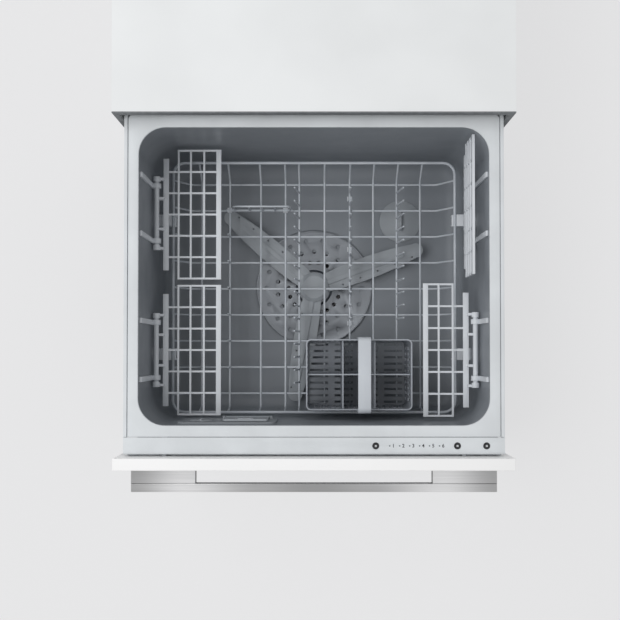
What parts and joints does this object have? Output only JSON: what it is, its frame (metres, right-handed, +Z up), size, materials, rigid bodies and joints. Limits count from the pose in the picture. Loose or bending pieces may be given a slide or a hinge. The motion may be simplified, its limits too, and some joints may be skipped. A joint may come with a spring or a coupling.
{
  "type": "dishwasher drawer",
  "caption": "Built-in dishwasher drawer in its chassis, pulled out, with moulded tub, wire base rack, folding cup racks, cutlery basket, panel and bar handle.",
  "frame": {"origin": "middle of the chassis underside, where it stands on the cabinet floor", "axes": "+X to the right seen from the front, +Y to the back of the cabinet, +Z up; the drawer is drawn pulled out towards -Y"},
  "size_m": [0.599, 1.144, 0.41],
  "materials": {
    "coated_steel": "satin coated sheet",
    "zinc_steel": "zinc-plated",
    "black_rubber": "matt",
    "seal_rubber": "matt",
    "black_plastic": "fine grain",
    "valve_white": "satin",
    "lid_plastic": "satin",
    "tub_grey": "satin moulded",
    "rim_grey": "satin moulded",
    "lens": "clear moulded",
    "circuit_green": "coated",
    "button_black": "satin",
    "panel_white": "white satin lacquer on board",
    "handle_steel": "long brushed",
    "fitting_grey": "satin moulded",
    "cover_grey": "satin moulded",
    "heater_steel": "plain",
    "rack_plastic": "satin moulded",
    "rack_wire": "nylon coated wire",
    "basket_plastic": "satin moulded",
    "basket_handle_plastic": "satin moulded"
  },
  "bodies": {
    "chassis": {"cabinet_wrap": "coated_steel", "base_pan": "coated_steel", "back_panel": "coated_steel", "front_gasket": "black_rubber", "fixing_plates": "zinc_steel", "runner_outer": "zinc_steel", "yoke_guides": "black_plastic", "lid_actuators": "black_plastic", "inlet_valve": "valve_white", "drain_outlet": "black_plastic", "mains_gland": "black_plastic", "link_elbow": "black_plastic"},
    "lid": {"lid": "lid_plastic", "lid_seal": "seal_rubber"},
    "yoke_left": {"yoke_left": "zinc_steel"},
    "yoke_right": {"yoke_right": "zinc_steel"},
    "runner_middle_left": {"runner_middle_left": "zinc_steel"},
    "runner_middle_right": {"runner_middle_right": "zinc_steel"},
    "drawer": {"tub": "tub_grey", "tub_rim": "rim_grey", "side_trims": "rim_grey", "control_strip": "rim_grey", "indicator_lights": "lens", "control_housing": "black_plastic", "control_board": "circuit_green", "front_frame": "zinc_steel", "side_plates": "zinc_steel", "runner_inner": "zinc_steel", "door_panel": "panel_white", "front_screws": "zinc_steel", "handle_bar": "handle_steel", "handle_blocks": "handle_steel", "dispenser_body": "fitting_grey", "pump_housing": "tub_grey", "wash_motor": "black_plastic", "heater": "heater_steel", "drain_pump": "black_plastic", "filter_plate": "heater_steel", "drying_fan": "black_plastic", "link_manifold": "black_plastic", "rack_arms": "rack_plastic", "base_rack": "rack_wire", "rack_tines": "rack_wire", "fold_clips": "rack_plastic"},
    "drain_filter": {"drain_filter": "fitting_grey"},
    "spray_arm": {"spray_arm": "fitting_grey"},
    "dispenser_flap": {"dispenser_flap": "cover_grey"},
    "rinse_aid_cap": {"rinse_aid_cap": "cover_grey"},
    "cup_rack_left_rear": {"cup_rack_left_rear": "rack_plastic"},
    "cup_rack_left_front": {"cup_rack_left_front": "rack_plastic"},
    "cup_rack_right_front": {"cup_rack_right_front": "rack_plastic"},
    "cup_rack_right_rear": {"cup_rack_right_rear": "rack_plastic"},
    "plate_tines": {"plate_tines": "rack_wire"},
    "bowl_tines": {"bowl_tines": "rack_wire"},
    "basket": {"cutlery_basket": "basket_plastic", "basket_dividers": "basket_plastic", "basket_handle": "basket_handle_plastic"},
    "program_button": {"program_button": "button_black"},
    "option_button": {"option_button": "button_black"},
    "start_button": {"start_button": "button_black"}
  },
  "joints": [
    {"name": "drawer_slide", "type": "slide", "parent": "chassis", "child": "drawer", "axis": [0, 1, 0], "range_m": [0, 0.51]},
    {"name": "runner_left_slide", "type": "slide", "parent": "chassis", "child": "runner_middle_left", "axis": [0, 1, 0], "range_m": [0, 0.255]},
    {"name": "runner_right_slide", "type": "slide", "parent": "chassis", "child": "runner_middle_right", "axis": [0, 1, 0], "range_m": [0, 0.255]},
    {"name": "lid_drop", "type": "slide", "parent": "chassis", "child": "lid", "axis": [0, 0, -1], "range_m": [0, 0.0047]},
    {"name": "yoke_left_slide", "type": "slide", "parent": "chassis", "child": "yoke_left", "axis": [0, 1, 0], "range_m": [0, 0.0141]},
    {"name": "yoke_right_slide", "type": "slide", "parent": "chassis", "child": "yoke_right", "axis": [0, 1, 0], "range_m": [0, 0.0141]},
    {"name": "spray_arm_turn", "type": "hinge", "parent": "drawer", "child": "spray_arm", "pos_m": [0, -0.51725, 0.101], "axis": [0, 0, 1], "continuous": true},
    {"name": "drain_filter_turn", "type": "hinge", "parent": "drawer", "child": "drain_filter", "pos_m": [0.155, -0.3965, 0.084], "axis": [0, 0, 1], "range_deg": [0, 60]},
    {"name": "dispenser_flap_hinge", "type": "hinge", "parent": "drawer", "child": "dispenser_flap", "pos_m": [-0.107, -0.738, 0.268], "axis": [-1, 0, 0], "range_deg": [0, 80]},
    {"name": "rinse_aid_cap_turn", "type": "hinge", "parent": "drawer", "child": "rinse_aid_cap", "pos_m": [-0.178, -0.743, 0.3], "axis": [0, 1, 0], "range_deg": [0, 90]},
    {"name": "cup_rack_left_rear_fold", "type": "hinge", "parent": "drawer", "child": "cup_rack_left_rear", "pos_m": [-0.257, -0.406, 0.255], "axis": [0, -1, 0], "range_deg": [0, 90]},
    {"name": "cup_rack_left_front_fold", "type": "hinge", "parent": "drawer", "child": "cup_rack_left_front", "pos_m": [-0.257, -0.629, 0.255], "axis": [0, -1, 0], "range_deg": [0, 90]},
    {"name": "cup_rack_right_front_fold", "type": "hinge", "parent": "drawer", "child": "cup_rack_right_front", "pos_m": [0.257, -0.629, 0.291], "axis": [0, 1, 0], "range_deg": [0, 90]},
    {"name": "cup_rack_right_rear_fold", "type": "hinge", "parent": "drawer", "child": "cup_rack_right_rear", "pos_m": [0.257, -0.406, 0.255], "axis": [0, -1, 0], "range_deg": [0, 90]},
    {"name": "plate_tines_fold", "type": "hinge", "parent": "drawer", "child": "plate_tines", "pos_m": [0.062, -0.4685, 0.1467], "axis": [0, -1, 0], "range_deg": [0, 80]},
    {"name": "bowl_tines_fold", "type": "hinge", "parent": "drawer", "child": "bowl_tines", "pos_m": [-0.095, -0.3851, 0.1467], "axis": [1, 0, 0], "range_deg": [0, 80]},
    {"name": "basket_lift", "type": "slide", "parent": "drawer", "child": "basket", "axis": [0, 0, -1], "range_m": [-0.12, 0]},
    {"name": "program_button_press", "type": "slide", "parent": "drawer", "child": "program_button", "axis": [0, 0, -1], "range_m": [0, 0.0008], "stiffness_N_per_m": 500},
    {"name": "option_button_press", "type": "slide", "parent": "drawer", "child": "option_button", "axis": [0, 0, -1], "range_m": [0, 0.0008], "stiffness_N_per_m": 500},
    {"name": "start_button_press", "type": "slide", "parent": "drawer", "child": "start_button", "axis": [0, 0, -1], "range_m": [0, 0.0008], "stiffness_N_per_m": 500}
  ],
  "couplings": [
    {"joint": "runner_left_slide", "follows": "drawer_slide", "ratio": 0.5},
    {"joint": "runner_right_slide", "follows": "drawer_slide", "ratio": 0.5},
    {"joint": "yoke_left_slide", "follows": "lid_drop", "ratio": 3},
    {"joint": "yoke_right_slide", "follows": "lid_drop", "ratio": 3}
  ]
}
